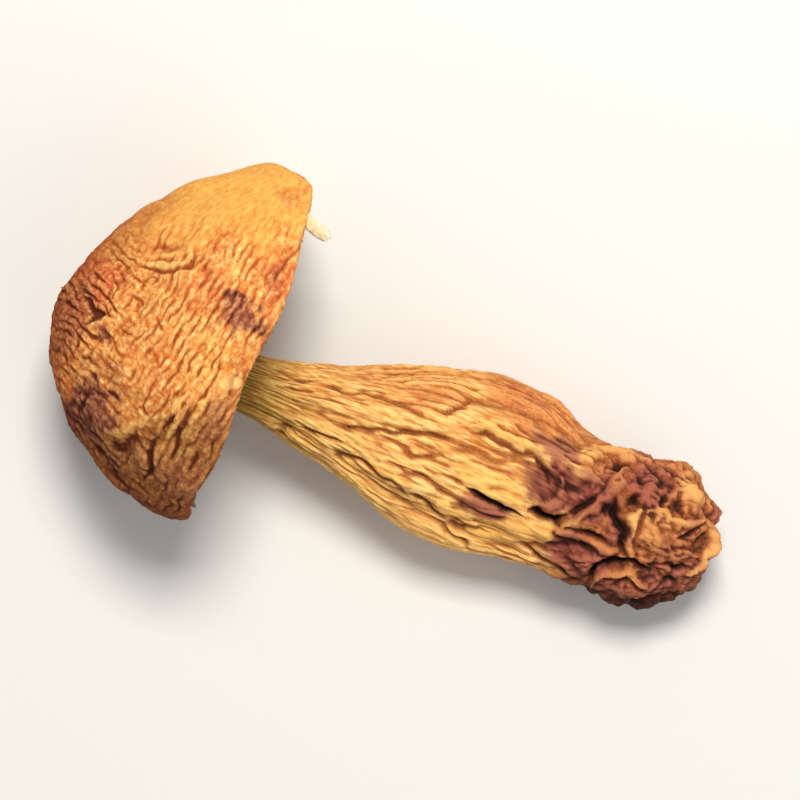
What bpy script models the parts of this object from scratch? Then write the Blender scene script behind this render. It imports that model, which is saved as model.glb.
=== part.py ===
"""A dried almond mushroom lying on its side: a domed cap with gills, and a club-shaped stem.

Each piece is turned on a lathe (a profile with a Screw modifier) and then dried: every
point of the turned blank moves to where shrinking, bending and wrinkling took it. The
mushroom lies along X with its crown at -X, and it rests on the plane Z = 0.
"""

import math

import bpy
import numpy as np

MM = 0.001

# The cap. Its widest ring stands just above the margin, which rolls in past it.
CAP_RADIUS = 18.0 * MM
CAP_HEIGHT = 16.6 * MM  # from the widest ring to the crown
CAP_CENTRE = (-2.9 * MM, 0.0, 13.5 * MM)  # middle of the widest ring
CAP_TILT = math.radians(4.5)  # the crown points this far above the level
CAP_SQUASH_ABOVE, CAP_SQUASH_BELOW = 0.94, 0.80
MARGIN_ROLL = math.radians(10)  # how far round the margin rolls in
GILLS = 56
GILL_DEPTH = 0.6 * MM
# The underside, from the margin's edge to the middle: share of the way, share of
# the radius, and height above the widest ring.
UNDERSIDE = (
    (0.00, 0.980, -2.88 * MM),
    (0.05, 0.945, -3.15 * MM),
    (0.11, 0.905, -2.40 * MM),
    (0.24, 0.865, -0.20 * MM),
    (0.42, 0.760, 2.80 * MM),
    (0.62, 0.560, 5.80 * MM),
    (0.80, 0.380, 7.60 * MM),
    (0.90, 0.270, 8.10 * MM),
    (1.00, 0.000, 8.10 * MM),
)

# The stem, from its top end inside the cap to where its base rounds off: X, Y and Z of
# the middle line, half the width and half the thickness.
STEM_STATIONS = (
    (-10.6 * MM, -2.6 * MM, 14.11 * MM, 4.2 * MM, 3.8 * MM),
    (-4.0 * MM, -2.9 * MM, 13.59 * MM, 3.1 * MM, 2.9 * MM),
    (1.0 * MM, -3.1 * MM, 13.0 * MM, 3.0 * MM, 2.9 * MM),
    (8.5 * MM, -3.4 * MM, 11.2 * MM, 4.9 * MM, 4.3 * MM),
    (16.5 * MM, -3.5 * MM, 8.7 * MM, 7.7 * MM, 6.4 * MM),
    (23.0 * MM, -3.5 * MM, 7.25 * MM, 8.7 * MM, 7.2 * MM),
    (29.0 * MM, -3.6 * MM, 6.7 * MM, 8.4 * MM, 6.9 * MM),
    (34.0 * MM, -4.6 * MM, 6.4 * MM, 7.4 * MM, 6.4 * MM),
    (39.5 * MM, -4.8 * MM, 6.4 * MM, 7.8 * MM, 6.4 * MM),
)
STEM_END = 49.4 * MM  # X of the base's end
BASE_BLUNTNESS = 0.8  # 1 is a round end, and less is a blunter one
STEM_START = STEM_STATIONS[0][0]
STEM_ROUNDS_FROM = STEM_STATIONS[-1][0]
SHRIVELLED = (31.0 * MM, 37.0 * MM)  # X where the base starts to be shrivelled, and fully

# Deep folds of the stem's upper side, where its flesh collapsed: X and Y of both ends,
# depth and half width.
STEM_FOLDS = (
    (23.7 * MM, -6.4 * MM, 33.7 * MM, -6.7 * MM, 1.5 * MM, 1.1 * MM),
    (35.6 * MM, -0.4 * MM, 38.0 * MM, 1.2 * MM, 1.1 * MM, 1.0 * MM),
    (38.8 * MM, -2.2 * MM, 42.4 * MM, -0.8 * MM, 1.3 * MM, 1.0 * MM),
    (39.4 * MM, -4.0 * MM, 38.6 * MM, -9.6 * MM, 1.2 * MM, 1.0 * MM),
    (31.8 * MM, -10.9 * MM, 37.4 * MM, -11.9 * MM, 1.0 * MM, 1.0 * MM),
)
# Knots of dried flesh on its upper side: X, Y, radius and height.
STEM_KNOTS = (
    (32.4 * MM, -3.8 * MM, 2.6 * MM, 1.0 * MM),
    (30.4 * MM, -9.1 * MM, 2.2 * MM, 0.9 * MM),
    (35.6 * MM, 1.8 * MM, 1.6 * MM, 0.7 * MM),
    (40.3 * MM, 0.6 * MM, 1.8 * MM, 0.9 * MM),
    (45.3 * MM, -0.6 * MM, 1.9 * MM, 1.0 * MM),
    (41.4 * MM, -4.7 * MM, 1.7 * MM, 1.2 * MM),
    (44.2 * MM, -5.6 * MM, 2.0 * MM, 0.9 * MM),
    (41.0 * MM, -9.6 * MM, 1.9 * MM, 1.0 * MM),
    (35.8 * MM, -9.0 * MM, 2.2 * MM, 0.7 * MM),
)
# The crease that runs down the cap's near side: X and Y of both ends, depth, half width.
CAP_CREASES = ((-5.0 * MM, -4.6 * MM, -6.4 * MM, -13.4 * MM, 0.8 * MM, 0.9 * MM),)

# Folds and creases stand on the upper side, above these heights (from, fully).
CAP_UPPER_SIDE = (12 * MM, 16 * MM)
STEM_UPPER_SIDE = (7 * MM, 10 * MM)
# What drying did all over, by the size of the noise's cells and its depth.
DENT_SIZE, DENT_DEPTH = 10 * MM, 1.1 * MM
FOLD_SIZE, FOLD_DEPTH = 5.5 * MM, 1.1 * MM
LUMP_SIZE, LUMP_HEIGHT = 5.2 * MM, 3.6 * MM
GROOVE_LENGTH, GROOVES_AROUND = 24 * MM, 1.5
GROOVE_DEPTH_NECK, GROOVE_DEPTH_BODY = 0.9 * MM, 1.5 * MM
GROOVES_DEEPEN = (0, 20 * MM)  # along X, from the neck to the thick part
TYPICAL_NOISE = 0.23  # what the noise is worth on average, without its sign

# Middle of the finished mushroom, in the frame that the shapes above are drawn in.
REST_CENTRE = (15.03 * MM, -0.11 * MM)
CAP_STEPS, CAP_RINGS, UNDERSIDE_RINGS = 112, 16, 10
STEM_STEPS, STEM_RINGS = 44, 34

CAP_COLOUR = (0.64, 0.26, 0.07, 1.0)
STEM_COLOUR = (0.62, 0.31, 0.09, 1.0)
FLESH_ROUGHNESS = 0.8


def lattice_noise(points, seed):
    """Smooth noise: a random slope at each whole-number point, blended between them."""
    slopes = np.random.default_rng(seed).normal(size=(256, 3))
    slopes /= np.linalg.norm(slopes, axis=1)[:, None]
    order = np.random.default_rng(seed + 1).permutation(256)
    cell = np.floor(points).astype(np.int64)
    inside = points - cell
    fade = inside**3 * (inside * (6 * inside - 15) + 10)
    total = np.zeros(len(points))
    for corner in np.ndindex(2, 2, 2):
        at = (cell + corner) & 255
        pick = order[(order[(order[at[:, 0]] + at[:, 1]) & 255] + at[:, 2]) & 255]
        share = np.where(np.array(corner) == 1, fade, 1 - fade).prod(axis=1)
        total += share * ((inside - corner) * slopes[pick]).sum(axis=1)
    return total


def smooth_step(value, low, high):
    """0 below low, 1 above high, and a smooth rise between them."""
    share = np.clip((value - low) / (high - low), 0, 1)
    return share * share * (3 - 2 * share)


def through(stations, at):
    """Columns 1 onwards of stations at these values of column 0, on a smooth curve."""
    table = np.array(stations, float)
    where, values = table[:, 0], table[:, 1:]
    slopes = np.gradient(values, where, axis=0)
    left = np.clip(np.searchsorted(where, at) - 1, 0, len(where) - 2)
    span = where[left + 1] - where[left]
    share = np.clip((at - where[left]) / span, 0, 1)[:, None]
    span = span[:, None]
    start, end = values[left], values[left + 1]
    rise_out, rise_in = slopes[left] * span, slopes[left + 1] * span
    return (
        start * (1 + 2 * share) * (1 - share) ** 2
        + rise_out * share * (1 - share) ** 2
        + end * share**2 * (3 - 2 * share)
        + rise_in * share**2 * (share - 1)
    )


def along_fold(x, y, fold):
    """1 on the line of a fold, falling to 0 away from it, for points seen from above."""
    x0, y0, x1, y1, _, half_width = fold
    run = np.array([x1 - x0, y1 - y0])
    share = np.clip(((x - x0) * run[0] + (y - y0) * run[1]) / (run @ run), 0, 1)
    away = np.hypot(x - x0 - share * run[0], y - y0 - share * run[1])
    return np.exp(-((away / half_width) ** 2))


def on_the_floor(points):
    """Points below the floor are pressed flat on it, as drying on a tray leaves them."""
    points[:, 2] = np.maximum(points[:, 2], 0)
    return points


def cap_outline(along, angle):
    """Radius and height of the cap's skin and underside before it dried."""
    bluntness = 1.68 - 0.30 * np.cos(angle)  # the far side is the more conical one
    turn = np.clip(along, 0, 1) * (math.pi / 2 + MARGIN_ROLL)
    radius = CAP_RADIUS * np.sin(turn) ** (2 / bluntness)
    level = np.cos(turn)
    height = CAP_HEIGHT * np.where(level > 0, np.abs(level) ** (2 / bluntness), level)
    under = through(UNDERSIDE, np.clip(along - 1, 0, 1))
    edge = CAP_RADIUS * math.cos(MARGIN_ROLL) ** (2 / bluntness) / UNDERSIDE[0][1]
    below = along > 1
    radius = np.where(below, edge * under[:, 0], radius)
    return radius, np.where(below, under[:, 1], height)


def cap_point(along, angle):
    """A point of the cap: along runs from 0 at the crown over 1 at the margin to 2."""
    radius, height = cap_outline(along, angle)
    lobes = 0.020 * np.cos(2 * angle + 0.6) + 0.014 * np.cos(3 * angle - 1.0)
    lobes += 0.008 * np.cos(5 * angle + 2.0) - 0.028 * np.cos(angle) ** 2
    radius = radius * (1 + lobes)
    near_margin = np.exp(-(((along - 1) / 0.3) ** 2))
    wave = 0.45 * np.cos(2 * angle + 1.2) + 0.35 * np.cos(3 * angle + 0.3)
    wave += 0.2 * np.cos(7 * angle + 0.5) + 1.3 * np.exp(-(((np.cos(angle) + 1) / 0.25) ** 2))
    height = height + MM * near_margin * wave
    gilled = smooth_step(along, 1.15, 1.3) * (1 - smooth_step(along, 1.82, 1.9))
    height = height + GILL_DEPTH * gilled * np.cos(GILLS * angle)
    # The underside is centred on the stem, and the margin on the cap.
    stem_share = smooth_step(along, 1.1, 1.85)
    side = radius * np.cos(angle) + stem_share * STEM_STATIONS[0][1]
    up = radius * np.sin(angle)
    up = up * np.where(up > 0, CAP_SQUASH_ABOVE, CAP_SQUASH_BELOW)
    raised, level = math.sin(CAP_TILT), math.cos(CAP_TILT)
    x = CAP_CENTRE[0] - height * level + up * raised
    z = CAP_CENTRE[2] + height * raised + up * level
    return np.stack([x, CAP_CENTRE[1] + side, z], axis=1)


def cap_relief(points, along):
    """How far the cap's skin stands out from its smooth form: dents, folds and creases."""
    dents = lattice_noise(points / DENT_SIZE, 11)
    folds = np.abs(lattice_noise(points / FOLD_SIZE, 12)) - TYPICAL_NOISE
    relief = DENT_DEPTH * dents + FOLD_DEPTH * folds
    above = smooth_step(points[:, 2], *CAP_UPPER_SIDE)
    for crease in CAP_CREASES:
        relief -= crease[4] * above * along_fold(points[:, 0], points[:, 1], crease)
    return relief * (1 - smooth_step(along, 0.97, 1.05))


def dried_cap(along, angle):
    """The cap's points after drying, relief and gills included."""
    points = cap_point(along, angle)
    middle = np.array(CAP_CENTRE)
    outward = points - middle
    outward /= np.linalg.norm(outward, axis=1)[:, None]
    return on_the_floor(points + outward * cap_relief(points, along)[:, None])


def stem_frame(along):
    """The section at each along: X, Y and Z of its middle, its half width and half
    thickness, its pitch, how much of its full size it has, and how far it is rounded off.
    """
    rounding = np.clip(along - 1, 0, 1) * math.pi / 2
    reach = STEM_END - STEM_ROUNDS_FROM
    x = STEM_START + (STEM_ROUNDS_FROM - STEM_START) * np.clip(along, 0, 1)
    x = x + reach * np.sin(rounding)
    y, z, width, thickness = through(STEM_STATIONS, x).T
    ahead = through(STEM_STATIONS, x + 0.1 * MM)[:, 1]
    behind = through(STEM_STATIONS, x - 0.1 * MM)[:, 1]
    pitch = np.arctan2(ahead - behind, 0.2 * MM)
    pitch = np.where(x < STEM_START + 0.2 * MM, -CAP_TILT, pitch)
    share = np.where(along < 0, 1 + along, np.cos(rounding) ** BASE_BLUNTNESS)
    return x, y, z, width, thickness, pitch, share, np.sin(rounding)


def stem_relief(points, along, angle, x):
    """How far the stem stands out from its smooth form: grooves, knots and folds."""
    round_it = GROOVES_AROUND * np.stack([np.cos(angle), np.sin(angle)], axis=1)
    along_it = np.column_stack([x / GROOVE_LENGTH, round_it])
    grooves = np.abs(lattice_noise(along_it, 21)) - TYPICAL_NOISE
    depth = GROOVE_DEPTH_NECK + GROOVE_DEPTH_BODY * smooth_step(x, *GROOVES_DEEPEN)
    shrivelled = smooth_step(x, *SHRIVELLED)
    lumps = np.abs(lattice_noise(points / LUMP_SIZE, 22)) - TYPICAL_NOISE
    relief = depth * grooves * (1 - 0.5 * shrivelled) + LUMP_HEIGHT * shrivelled * lumps
    above = smooth_step(points[:, 2], *STEM_UPPER_SIDE)
    for fold in STEM_FOLDS:
        relief -= fold[4] * above * along_fold(points[:, 0], points[:, 1], fold)
    for x0, y0, radius, height in STEM_KNOTS:
        away = np.hypot(points[:, 0] - x0, points[:, 1] - y0)
        relief += height * above * np.exp(-((away / radius) ** 2))
    return relief * smooth_step(along, 0.0, 0.25)


def dried_stem(along, angle):
    """The stem's points: along runs from -1, the middle of its top end, to 2, its base."""
    x, y, z, width, thickness, pitch, share, tip = stem_frame(along)
    side, up = width * share * np.cos(angle), thickness * share * np.sin(angle)
    points = np.stack([x - up * np.sin(pitch), y + side, z + up * np.cos(pitch)], axis=1)
    out_side = np.cos(angle) * thickness * share
    out_up = np.sin(angle) * width * share
    outward = np.stack([tip * width, out_side, out_up], axis=1)
    outward /= np.maximum(np.linalg.norm(outward, axis=1), 1e-9)[:, None]
    return on_the_floor(points + outward * stem_relief(points, along, angle, x)[:, None])


def principled(name, colour):
    """A plain leathery material of one colour."""
    material = bpy.data.materials.new(name)
    material.use_nodes = True
    shader = material.node_tree.nodes["Principled BSDF"]
    shader.inputs["Base Color"].default_value = colour
    shader.inputs["Roughness"].default_value = FLESH_ROUGHNESS
    shader.inputs["Metallic"].default_value = 0.0
    return material


def turned_blank(name, stations, steps):
    """A mesh turned about Z from (along, radius, height) stations, which keeps along."""
    profile = bpy.data.meshes.new(name + "_profile")
    corners = [(radius, 0.0, height) for _, radius, height in stations]
    edges = [(i, i + 1) for i in range(len(stations) - 1)]
    profile.from_pydata(corners, edges, [])
    kept = profile.attributes.new("along", "FLOAT", "POINT")
    kept.data.foreach_set("value", [station[0] for station in stations])
    blank = bpy.data.objects.new(name + "_blank", profile)
    bpy.context.scene.collection.objects.link(blank)
    screw = blank.modifiers.new("Turn", "SCREW")
    screw.axis = "Z"
    screw.steps = screw.render_steps = steps
    screw.use_normal_flip = True  # the drying below mirrors the blank
    screw.use_merge_vertices = True
    screw.merge_threshold = 1e-6
    bpy.context.view_layer.update()
    graph = bpy.context.evaluated_depsgraph_get()
    mesh = bpy.data.meshes.new_from_object(blank.evaluated_get(graph))
    bpy.data.objects.remove(blank)
    bpy.data.meshes.remove(profile)
    return mesh


def dried_piece(name, blank, drying, material, collection):
    """The finished object: each point of the blank goes where drying took it."""
    count = len(blank.vertices)
    turned = np.empty(count * 3)
    blank.vertices.foreach_get("co", turned)
    turned = turned.reshape(-1, 3)
    along = np.empty(count)
    blank.attributes["along"].data.foreach_get("value", along)
    angle = np.arctan2(turned[:, 1], turned[:, 0])
    dried = drying(along, angle) - np.array([*REST_CENTRE, 0.0])
    blank.vertices.foreach_set("co", dried.ravel())
    blank.name = name
    blank.shade_smooth()
    blank.materials.append(material)
    blank.update()
    piece = bpy.data.objects.new(name, blank)
    collection.objects.link(piece)
    return piece


def cap_stations():
    """The cap's profile: the skin from crown to margin, then the underside inwards."""
    skin = [i / CAP_RINGS for i in range(CAP_RINGS)]
    under = [1 + i / UNDERSIDE_RINGS for i in range(UNDERSIDE_RINGS + 1)]
    levels = np.array(skin + under)
    radius, height = cap_outline(levels, np.full(len(levels), math.pi / 2))
    radius[0] = radius[-1] = 0.0
    return list(zip(levels.tolist(), radius.tolist(), height.tolist()))


def stem_stations():
    """The stem's profile, from the middle of its top end to the point of its base."""
    top = [-1.0, -0.4]
    body = [i / STEM_RINGS for i in range(STEM_RINGS)]
    base = [1 + i / 8 for i in range(9)]
    levels = np.array(top + body + base)
    x, _, _, width, _, _, share, _ = stem_frame(levels)
    radius = width * share
    radius[0] = radius[-1] = 0.0
    return list(zip(levels.tolist(), radius.tolist(), (-x).tolist()))


def main():
    for obj in list(bpy.data.objects):
        bpy.data.objects.remove(obj)
    mushroom = bpy.data.collections.new("dried_almond_mushroom")
    bpy.context.scene.collection.children.link(mushroom)
    cap_skin = principled("cap_flesh", CAP_COLOUR)
    stem_skin = principled("stem_flesh", STEM_COLOUR)
    cap_blank = turned_blank("cap", cap_stations(), CAP_STEPS)
    dried_piece("cap", cap_blank, dried_cap, cap_skin, mushroom)
    stem_blank = turned_blank("stem", stem_stations(), STEM_STEPS)
    dried_piece("stem", stem_blank, dried_stem, stem_skin, mushroom)


main()
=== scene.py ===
"""The looks of a dried almond mushroom: skins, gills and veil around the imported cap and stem.

Every surface is worked out as a grid of points. The smooth forms are those of the solids,
drawn in the same frame, and the wrinkles that drying left are added on top of them.
"""

import math

import bpy
import numpy as np
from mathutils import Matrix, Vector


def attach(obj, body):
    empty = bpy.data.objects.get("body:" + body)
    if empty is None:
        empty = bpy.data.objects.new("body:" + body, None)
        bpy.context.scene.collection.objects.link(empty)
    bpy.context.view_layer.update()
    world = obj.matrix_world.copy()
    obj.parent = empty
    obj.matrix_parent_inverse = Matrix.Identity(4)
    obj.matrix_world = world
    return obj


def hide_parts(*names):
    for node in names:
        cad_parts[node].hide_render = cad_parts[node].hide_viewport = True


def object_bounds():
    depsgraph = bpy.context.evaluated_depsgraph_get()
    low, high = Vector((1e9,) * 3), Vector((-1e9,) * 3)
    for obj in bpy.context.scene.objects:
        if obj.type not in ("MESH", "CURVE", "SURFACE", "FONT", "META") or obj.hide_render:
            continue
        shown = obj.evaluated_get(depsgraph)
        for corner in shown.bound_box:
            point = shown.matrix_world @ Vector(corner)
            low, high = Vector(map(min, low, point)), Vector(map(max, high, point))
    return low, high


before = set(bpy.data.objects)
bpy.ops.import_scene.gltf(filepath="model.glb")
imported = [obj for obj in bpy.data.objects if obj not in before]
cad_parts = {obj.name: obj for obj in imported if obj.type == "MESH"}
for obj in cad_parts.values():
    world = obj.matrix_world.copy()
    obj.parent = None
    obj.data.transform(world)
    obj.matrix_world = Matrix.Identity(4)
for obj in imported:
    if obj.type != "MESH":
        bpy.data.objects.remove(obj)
CAD_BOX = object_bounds()

MM = 0.001

# The cap, as in the solids.
CAP_RADIUS = 18.0 * MM
CAP_HEIGHT = 16.6 * MM
CAP_CENTRE = (-2.9 * MM, 0.0, 13.5 * MM)
CAP_TILT = math.radians(4.5)
CAP_SQUASH_ABOVE, CAP_SQUASH_BELOW = 0.94, 0.80
MARGIN_ROLL = math.radians(10)
LIP_END = 0.10
UNDERSIDE = (
    (0.00, 0.980, -2.88 * MM),
    (0.05, 0.945, -3.15 * MM),
    (0.11, 0.905, -2.40 * MM),
    (0.24, 0.865, -0.20 * MM),
    (0.42, 0.760, 2.80 * MM),
    (0.62, 0.560, 5.80 * MM),
    (0.80, 0.380, 7.60 * MM),
    (0.90, 0.270, 8.10 * MM),
    (1.00, 0.000, 8.10 * MM),
)

# The stem, as in the solids: X, Y and Z of its middle line, half width, half thickness.
STEM_STATIONS = MM * np.array((
    (-10.6, -2.6, 14.11, 4.2, 3.8),
    (-4.0, -2.9, 13.59, 3.1, 2.9),
    (1.0, -3.1, 13.0, 3.0, 2.9),
    (8.5, -3.4, 11.2, 4.9, 4.3),
    (16.5, -3.5, 8.7, 7.7, 6.4),
    (23.0, -3.5, 7.25, 8.7, 7.2),
    (29.0, -3.6, 6.7, 8.4, 6.9),
    (34.0, -4.6, 6.4, 7.4, 6.4),
    (39.5, -4.8, 6.4, 7.8, 6.4),
))
STEM_END = 49.4 * MM
BASE_BLUNTNESS = 0.8
STEM_START = STEM_STATIONS[0][0]
STEM_ROUNDS_FROM = STEM_STATIONS[-1][0]
SHRIVELLED = (31.0 * MM, 37.0 * MM)
# Middle of the finished mushroom, in the frame that the forms are drawn in.
REST_CENTRE = (15.03 * MM, -0.11 * MM)

# Coarse relief, as in the solids.
CAP_UPPER_SIDE = (12 * MM, 16 * MM)
STEM_UPPER_SIDE = (7 * MM, 10 * MM)
DENT_SIZE, DENT_DEPTH = 10 * MM, 1.1 * MM
FOLD_SIZE, FOLD_DEPTH = 5.5 * MM, 1.1 * MM
LUMP_SIZE, LUMP_HEIGHT = 5.2 * MM, 3.6 * MM
GROOVE_LENGTH, GROOVES_AROUND = 24 * MM, 1.5
GROOVE_DEPTH_NECK, GROOVE_DEPTH_BODY = 0.9 * MM, 1.5 * MM
GROOVES_DEEPEN = (0, 20 * MM)
TYPICAL_NOISE = 0.23

# Fine relief, in millimetres. A crease is a line seen from above: its points, depth and
# half width.
STEM_CREASES = (
    (((2.2, -0.8), (4.5, -0.9), (6.8, -0.8)), 0.42, 0.34),
    (((7.4, -0.7), (10.9, -0.7), (13.3, -0.3), (16.1, -0.5), (18.6, -0.7)), 0.46, 0.32),
    (((3.4, -2.4), (6.8, -2.2), (9.6, -2.2)), 0.30, 0.30),
    (((4.6, -3.6), (6.6, -3.4), (9.0, -3.2)), 0.28, 0.26),
    (((9.8, -4.2), (13.0, -3.8), (17.1, -2.8), (18.8, -2.4), (21.4, -2.4)), 0.62, 0.29),
    (((6.3, -5.5), (8.1, -5.7), (9.8, -5.8), (11.6, -5.6)), 0.50, 0.27),
    (((4.2, -6.3), (6.4, -6.8)), 0.70, 0.30),
    (((10.2, -6.7), (13.4, -7.2), (15.3, -7.5), (16.9, -7.9), (18.6, -8.6)), 0.55, 0.27),
    (((18.8, -8.4), (21.0, -9.1), (22.3, -9.6)), 0.75, 0.26),
    (((8.9, -8.9), (10.5, -9.1), (12.3, -9.5)), 0.45, 0.29),
    (((15.9, -4.4), (17.5, -4.7), (19.0, -4.6), (20.8, -3.9)), 0.50, 0.27),
    (((16.2, -6.4), (17.9, -6.5), (19.7, -6.7), (21.3, -7.4), (22.9, -7.8)), 0.50, 0.26),
    (((18.6, 0.4), (20.0, 0.5), (21.1, 1.6), (22.4, 2.8)), 0.55, 0.27),
    (((22.6, -0.6), (24.1, -0.6), (25.9, -1.1), (27.8, -1.3), (29.6, -1.5)), 0.62, 0.27),
    (((25.8, 1.3), (27.2, 1.0), (28.8, 0.6)), 0.45, 0.26),
    (((22.8, -10.0), (24.6, -10.0), (27.0, -9.5)), 0.60, 0.26),
    (((21.7, -10.2), (23.4, -10.7), (25.0, -11.1), (26.0, -11.5)), 0.60, 0.26),
    (((21.6, -5.6), (24.0, -6.2)), 0.60, 0.26),
    (((23.9, -6.2), (26.0, -6.4), (27.8, -6.9), (29.6, -7.0)), 1.50, 0.27),
    (((30.2, -6.4), (31.4, -6.5), (33.0, -6.7), (33.8, -5.4)), 1.60, 0.42),
    (((33.8, -5.4), (34.4, -4.8), (35.6, -3.7)), 0.90, 0.50),
    (((36.2, -0.3), (36.9, 0.5), (37.9, 1.2)), 1.50, 0.36),
    (((38.9, 1.5), (39.5, 1.5)), 1.00, 0.26),
    (((39.2, -2.1), (40.0, -1.6)), 1.60, 0.62),
    (((42.2, -1.6), (42.6, -0.2)), 1.60, 0.54),
    (((37.3, -1.2), (37.6, -0.9)), 1.00, 0.28),
    (((37.6, -2.8), (38.2, -3.8), (38.8, -5.0), (39.6, -6.2), (40.3, -7.6)), 1.30, 0.46),
    (((35.2, -6.5), (36.7, -6.5), (38.1, -6.8)), 0.80, 0.26),
    (((37.6, -11.2), (37.9, -9.6), (39.3, -8.4), (41.3, -8.1), (43.2, -8.3)), 1.30, 0.30),
    (((31.2, -10.0), (32.0, -10.4), (34.4, -10.9), (35.7, -11.3), (36.9, -11.7)), 1.00, 0.36),
    (((40.9, 1.8), (42.3, 1.5), (43.4, 1.3)), 0.90, 0.28),
    (((28.6, -1.0), (29.9, -1.7), (30.6, -2.4), (31.1, -3.2)), 0.90, 0.21),
    (((31.8, -0.4), (32.3, -0.5)), 1.00, 0.32),
    (((30.8, -1.5), (31.6, -1.6)), 0.80, 0.26),
    (((43.2, -0.2), (43.6, -1.6), (44.8, -2.2)), 0.80, 0.30),
    (((44.2, -5.0), (44.9, -5.6)), 0.80, 0.42),
    (((42.0, -7.0), (42.6, -7.0)), 0.70, 0.32),
    (((42.5, -3.5), (43.4, -3.3)), 0.60, 0.26),
    (((45.0, -4.4), (46.0, -3.4), (46.6, -2.2)), 0.90, 0.32),
    (((43.6, -7.4), (45.2, -7.0), (46.8, -6.6)), 0.90, 0.36),
    (((44.6, -8.8), (46.0, -8.4)), 0.70, 0.34),
)
# Bars are drawn the same way: points, height, half width and how pale their tops are.
STEM_BARS = (
    (((34.0, 0.7), (35.0, 1.1), (36.3, 1.6), (38.0, 2.0), (39.5, 2.2)), 0.90, 0.65, 0.75),
    (((34.0, -6.9), (35.3, -5.1), (36.4, -3.9), (37.0, -2.2), (37.8, 0.3)), 0.85, 0.48, 0.12),
    (((32.4, -2.5), (33.0, -3.7), (32.6, -4.9), (30.9, -5.7)), 0.50, 0.45, 0.0),
    (((32.4, -1.2), (34.0, -1.2), (36.3, -1.9)), 0.60, 0.50, 0.15),
    (((40.4, -2.9), (39.8, -4.1), (40.3, -5.5)), 1.30, 0.62, 1.0),
    (((40.3, -5.5), (40.8, -7.3)), 0.90, 0.50, 0.35),
    (((41.0, -2.9), (42.4, -2.4), (43.2, -2.9), (44.6, -2.7), (46.4, -2.2)), 0.65, 0.42, 0.6),
    (((43.7, 1.6), (45.4, 0.9), (46.6, -0.5)), 0.70, 0.55, 0.9),
    (((47.2, -1.6), (48.1, -3.6), (47.7, -5.6), (46.9, -7.2)), 0.70, 0.60, 0.8),
    (((43.2, -6.4), (44.8, -5.9), (46.4, -5.4)), 0.60, 0.50, 0.3),
    (((38.1, -11.4), (38.4, -10.4), (39.1, -9.6), (40.2, -9.2), (41.4, -9.0), (43.2, -9.4)),
     1.00, 0.28, 0.35),
    (((33.4, -7.3), (34.5, -7.2), (36.6, -7.2), (38.2, -7.6), (39.6, -7.4)), 0.75, 0.45, 0.10),
    (((28.3, -9.1), (30.2, -8.5), (32.8, -7.7)), 0.75, 0.85, 0.9),
    (((23.0, -5.0), (26.0, -5.0), (28.8, -5.6)), 0.40, 1.10, 0.6),
    (((22.4, 0.1), (24.4, 0.2), (27.0, -0.3), (29.4, -0.8)), 0.40, 0.50, 0.7),
    (((21.5, -8.2), (23.0, -9.0), (26.0, -9.1)), 0.40, 0.50, 0.7),
    (((14.0, -6.6), (16.2, -7.2), (18.6, -7.5)), 0.35, 0.40, 0.7),
    (((39.9, 2.4), (41.5, 2.5)), 0.40, 0.45, 0.2),
)
# Knots of dried flesh: height, X, Y, half length, half width and turn in degrees.
STEM_KNOTS = (
    (0.70, 34.2, 0.8, 1.5, 0.9, 30),
    (0.60, 40.8, -1.0, 1.3, 1.0, 0),
    (1.00, 44.8, 0.5, 1.6, 2.0, 18),
    (0.80, 42.4, -5.2, 2.2, 2.2, 20),
    (0.55, 45.4, -6.6, 1.5, 1.1, 10),
    (0.70, 40.6, -10.9, 2.4, 1.1, 4),
    (0.45, 35.6, -9.4, 2.6, 1.3, -18),
    (0.40, 34.6, -2.6, 1.4, 0.9, 10),
)
CAP_CREASES = (
    (((-5.4, -5.6), (-5.9, -7.2)), 0.34, 0.24),
    (((-5.0, -7.9), (-5.6, -9.3), (-6.0, -10.5)), 0.55, 0.26),
    (((-6.0, -10.5), (-6.1, -12.2), (-5.8, -13.6), (-5.9, -15.5)), 0.45, 0.34),
    (((-4.5, -6.3), (-4.7, -7.8)), 0.35, 0.20),
    (((-3.8, -6.8), (-4.0, -8.4), (-4.1, -9.7), (-4.0, -11.1), (-4.0, -13.0)), 0.32, 0.24),
    (((-13.3, 4.1), (-11.6, 4.4), (-9.9, 4.9), (-8.3, 5.8), (-7.9, 7.3)), 0.26, 0.22),
    (((-12.6, 5.1), (-11.0, 5.5), (-9.3, 6.4)), 0.16, 0.24),
    (((-12.4, 6.5), (-10.6, 6.7), (-9.2, 7.5)), 0.14, 0.30),
    (((-17.1, -0.1), (-16.0, -0.6), (-15.1, -1.3), (-15.8, -2.4), (-16.3, -3.0)), 0.50, 0.25),
    (((-16.3, -4.1), (-16.5, -5.6)), 0.40, 0.26),
    (((-14.4, -2.7), (-13.4, -3.3)), 0.30, 0.34),
    (((-12.6, -2.4), (-11.9, -2.9)), 0.26, 0.28),
    (((-14.4, -9.2), (-13.4, -8.9)), 0.40, 0.36),
    (((-13.8, -9.7), (-13.9, -10.8)), 0.40, 0.36),
    (((-13.1, -10.6), (-12.7, -11.6)), 0.40, 0.36),
    (((-12.1, -10.7), (-11.5, -11.0)), 0.35, 0.34),
    (((-10.2, -13.3), (-8.6, -12.4), (-7.2, -11.0)), 0.22, 0.60),
)
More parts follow.
